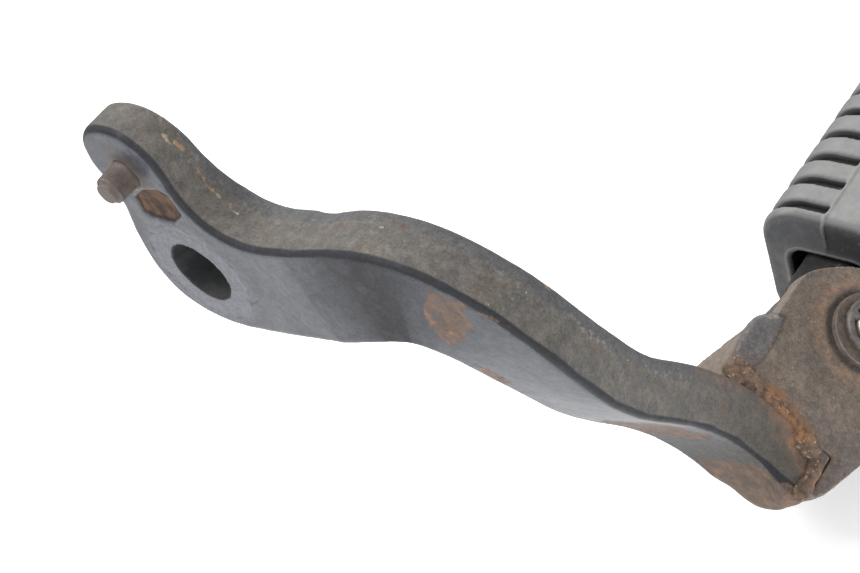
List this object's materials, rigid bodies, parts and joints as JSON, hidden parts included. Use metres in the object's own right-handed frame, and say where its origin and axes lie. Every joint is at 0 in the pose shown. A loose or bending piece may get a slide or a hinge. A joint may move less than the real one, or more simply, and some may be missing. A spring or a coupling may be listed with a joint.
{
  "type": "motorcycle footrest arm",
  "caption": "Left rider's footrest: bent steel arm with a bolt eye and locating dowel, welded folded-steel clevis and a folding rubber-covered peg held by a pin and split pin",
  "frame": {"origin": "centre of the bolt bore on the inboard (frame side) face of the mount plate", "axes": "+Y outboard along the bolt bore and the peg, +Z from the bolt bore towards the locating dowel, +X along the first run of the arm"},
  "size_m": [0.0975, 0.1952, 0.1521],
  "materials": {
    "arm": "worn satin dark paint over forged steel, chipped and rusty in patches",
    "locating_dowel": "turned steel dowel, dull",
    "clevis_bracket": "folded steel sheet, thin worn paint with brown rust film",
    "clevis_pin": "turned steel pin, bright worn end",
    "pin_washer": "plain steel washer, rusty film",
    "split_pin": "bent steel wire, dark",
    "peg_core": "painted steel core",
    "peg_rubber": "matte moulded rubber, dusty on the raised faces",
    "weld_bead_near": "rough arc weld, orange rust",
    "weld_bead_tip": "rough arc weld, orange rust",
    "weld_bead_web": "rough arc weld, brown rust",
    "weld_bead_far": "rough arc weld, brown rust"
  },
  "bodies": {
    "bracket": {"arm": "arm", "locating_dowel": "locating_dowel", "clevis_bracket": "clevis_bracket", "clevis_pin": "clevis_pin", "pin_washer": "pin_washer", "split_pin": "split_pin", "weld_bead_near": "weld_bead_near", "weld_bead_tip": "weld_bead_tip", "weld_bead_web": "weld_bead_web", "weld_bead_far": "weld_bead_far"},
    "peg": {"peg_core": "peg_core", "peg_rubber": "peg_rubber"}
  },
  "joints": [
    {"name": "peg_fold", "type": "hinge", "parent": "bracket", "child": "peg", "pos_m": [0.05834, 0.07681, -0.09342], "axis": [0.853, 0, 0.522], "range_deg": [0, 70]}
  ]
}
